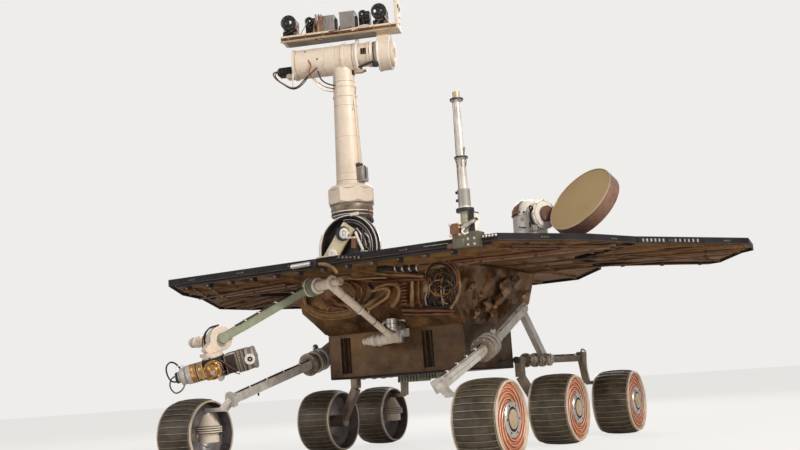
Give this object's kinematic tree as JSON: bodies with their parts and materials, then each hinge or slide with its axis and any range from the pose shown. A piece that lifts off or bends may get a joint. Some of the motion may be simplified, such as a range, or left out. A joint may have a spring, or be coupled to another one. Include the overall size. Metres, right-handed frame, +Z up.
{
  "type": "planetary rover",
  "caption": "Wheeled exploration rover with a fan of solar panels on its deck, a camera mast, two antennas, a jointed tool arm and open-hub cleated wheels on rocker-bogie legs.",
  "frame": {"origin": "on the ground, under the middle of the whole machine", "axes": "+X to the rover's left, -Y to its front, +Z up"},
  "size_m": [2.456, 1.8684, 1.664],
  "materials": {
    "gold_foil": "crinkled metallic foil",
    "solar_panel": "dark cells above, ribbed brown below",
    "cream_paint": "satin",
    "white_paint": "satin",
    "silver_metal": "machined",
    "grey_metal": "anodised",
    "dark_metal": "black anodised",
    "wheel_metal": "dark anodised",
    "wheel_foam": "open-cell foam",
    "dish_gold": "satin",
    "bronze": "anodised"
  },
  "bodies": {
    "chassis": {"electronics_box": "gold_foil", "upper_body": "gold_foil", "belly_boxes": "dark_metal", "solar_deck": "solar_panel", "solar_wing_left": "solar_panel", "solar_wing_right": "solar_panel", "solar_tail": "solar_panel", "panel_hinges": "silver_metal", "mast_bracket": "grey_metal", "cable_drum": "dark_metal", "mast_collar": "cream_paint", "low_gain_antenna": "cream_paint", "low_gain_bracket": "bronze", "antenna_pedestal": "white_paint", "arm_bracket": "silver_metal", "rocker_left": "silver_metal", "rocker_right": "silver_metal", "bogie_left": "bronze", "bogie_right": "bronze"},
    "mast": {"mast_tube": "cream_paint", "mast_head": "cream_paint"},
    "camera_bar": {"camera_bar": "cream_paint", "cameras": "dark_metal", "camera_electronics": "grey_metal"},
    "antenna_gimbal": {"antenna_gimbal": "white_paint"},
    "antenna_dish": {"antenna_dish": "dish_gold"},
    "arm_shoulder": {"arm_shoulder": "cream_paint"},
    "arm_upper_link": {"arm_upper_link": "cream_paint"},
    "arm_forearm": {"arm_forearm": "grey_metal"},
    "arm_wrist": {"arm_wrist": "silver_metal"},
    "turret": {"turret_hub": "dark_metal", "grinding_tool": "silver_metal", "spectrometer": "cream_paint", "particle_sensor": "gold_foil", "microscope": "grey_metal"},
    "wheel_front_left": {"wheel_rim_front_left": "wheel_metal", "wheel_disc_front_left": "wheel_foam"},
    "steering_front_left": {"steering_unit_front_left": "cream_paint"},
    "wheel_front_right": {"wheel_rim_front_right": "wheel_metal", "wheel_disc_front_right": "wheel_foam"},
    "steering_front_right": {"steering_unit_front_right": "cream_paint"},
    "wheel_middle_left": {"wheel_rim_middle_left": "wheel_metal", "wheel_disc_middle_left": "wheel_foam"},
    "wheel_middle_right": {"wheel_rim_middle_right": "wheel_metal", "wheel_disc_middle_right": "wheel_foam"},
    "wheel_rear_left": {"wheel_rim_rear_left": "wheel_metal", "wheel_disc_rear_left": "wheel_foam"},
    "steering_rear_left": {"steering_unit_rear_left": "cream_paint"},
    "wheel_rear_right": {"wheel_rim_rear_right": "wheel_metal", "wheel_disc_rear_right": "wheel_foam"},
    "steering_rear_right": {"steering_unit_rear_right": "cream_paint"}
  },
  "joints": [
    {"name": "steer_front_left", "type": "hinge", "parent": "chassis", "child": "steering_front_left", "pos_m": [0.523, -0.625, 0.13], "axis": [0, 0, 1], "range_deg": [-55, 55]},
    {"name": "roll_front_left", "type": "hinge", "parent": "steering_front_left", "child": "wheel_front_left", "pos_m": [0.585, -0.625, 0.13], "axis": [1, 0, 0], "continuous": true},
    {"name": "steer_front_right", "type": "hinge", "parent": "chassis", "child": "steering_front_right", "pos_m": [-0.523, -0.625, 0.13], "axis": [0, 0, 1], "range_deg": [-55, 55]},
    {"name": "roll_front_right", "type": "hinge", "parent": "steering_front_right", "child": "wheel_front_right", "pos_m": [-0.585, -0.625, 0.13], "axis": [1, 0, 0], "continuous": true},
    {"name": "roll_middle_left", "type": "hinge", "parent": "chassis", "child": "wheel_middle_left", "pos_m": [0.516, 0.139, 0.13], "axis": [1, 0, 0], "continuous": true},
    {"name": "roll_middle_right", "type": "hinge", "parent": "chassis", "child": "wheel_middle_right", "pos_m": [-0.516, 0.139, 0.13], "axis": [1, 0, 0], "continuous": true},
    {"name": "steer_rear_left", "type": "hinge", "parent": "chassis", "child": "steering_rear_left", "pos_m": [0.513, 0.67, 0.13], "axis": [0, 0, 1], "range_deg": [-55, 55]},
    {"name": "roll_rear_left", "type": "hinge", "parent": "steering_rear_left", "child": "wheel_rear_left", "pos_m": [0.575, 0.67, 0.13], "axis": [1, 0, 0], "continuous": true},
    {"name": "steer_rear_right", "type": "hinge", "parent": "chassis", "child": "steering_rear_right", "pos_m": [-0.513, 0.67, 0.13], "axis": [0, 0, 1], "range_deg": [-55, 55]},
    {"name": "roll_rear_right", "type": "hinge", "parent": "steering_rear_right", "child": "wheel_rear_right", "pos_m": [-0.575, 0.67, 0.13], "axis": [1, 0, 0], "continuous": true},
    {"name": "mast_turn", "type": "hinge", "parent": "chassis", "child": "mast", "pos_m": [0.027, -0.45, 0.971], "axis": [0, 0, 1], "range_deg": [-180, 180]},
    {"name": "camera_tilt", "type": "hinge", "parent": "mast", "child": "camera_bar", "pos_m": [0.027, -0.45, 1.446], "axis": [0.9455, 0.3256, 0], "range_deg": [-40, 40]},
    {"name": "antenna_turn", "type": "hinge", "parent": "chassis", "child": "antenna_gimbal", "pos_m": [0.463, 0.14, 0.762], "axis": [0, 0, 1], "range_deg": [-170, 170]},
    {"name": "antenna_tilt", "type": "hinge", "parent": "antenna_gimbal", "child": "antenna_dish", "pos_m": [0.463, 0.14, 0.86], "axis": [0.8902, -0.4555, 0], "range_deg": [-54, 36]},
    {"name": "shoulder_turn", "type": "hinge", "parent": "chassis", "child": "arm_shoulder", "pos_m": [0.04, -0.242, 0.429], "axis": [0, 0, 1], "range_deg": [-8, 55]},
    {"name": "shoulder_lift", "type": "hinge", "parent": "arm_shoulder", "child": "arm_upper_link", "pos_m": [0.03438, -0.25591, 0.429], "axis": [0.9272, -0.3746, 0], "range_deg": [0, 26]},
    {"name": "elbow", "type": "hinge", "parent": "arm_upper_link", "child": "arm_forearm", "pos_m": [-0.06676, -0.50625, 0.627], "axis": [-0.9272, 0.3746, 0], "range_deg": [-28, 20]},
    {"name": "wrist", "type": "hinge", "parent": "arm_forearm", "child": "arm_wrist", "pos_m": [-0.20275, -0.84281, 0.454], "axis": [-0.9272, 0.3746, 0], "range_deg": [-40, 90]},
    {"name": "turret_turn", "type": "hinge", "parent": "arm_wrist", "child": "turret", "pos_m": [-0.30005, -0.84341, 0.358], "axis": [0.097, 0.24, -0.9659], "range_deg": [-170, 170]}
  ]
}
